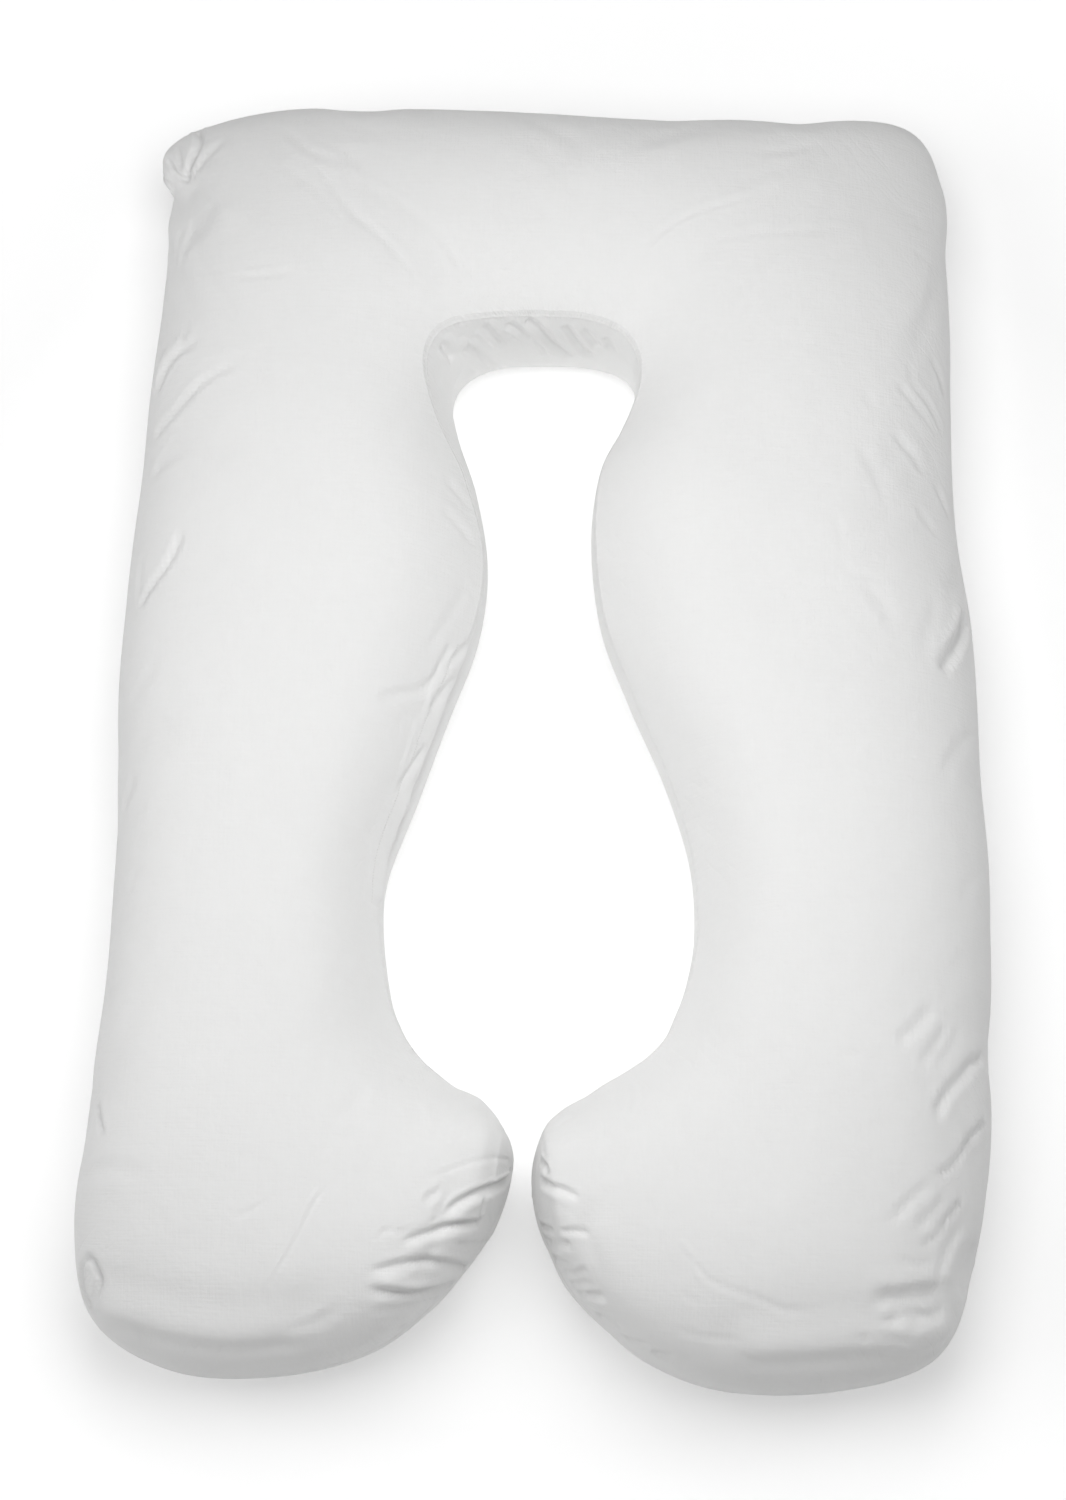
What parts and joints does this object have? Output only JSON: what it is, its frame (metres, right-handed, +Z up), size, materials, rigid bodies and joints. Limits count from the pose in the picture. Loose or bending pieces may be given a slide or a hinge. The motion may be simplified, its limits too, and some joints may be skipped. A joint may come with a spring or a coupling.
{
  "type": "u-shaped body pillow",
  "caption": "U-shaped filled body pillow in a plain cotton cover, with a neck hole, a narrow waist and two inward toes, lying on its back.",
  "frame": {"origin": "on the surface it lies on, under the middle of the pillow's outline", "axes": "+Z up out of its upper face, +Y along the legs towards the head bar, +X to the right when seen from above with the head bar away"},
  "size_m": [0.957, 1.5134, 0.2026],
  "materials": {
    "cover_cotton": "plain woven white cotton, matt",
    "flap_cotton": "hemmed double layer of the same white cotton"
  },
  "bodies": {
    "root": {"pillow": "cover_cotton", "closure_flap": "flap_cotton"}
  },
  "joints": []
}
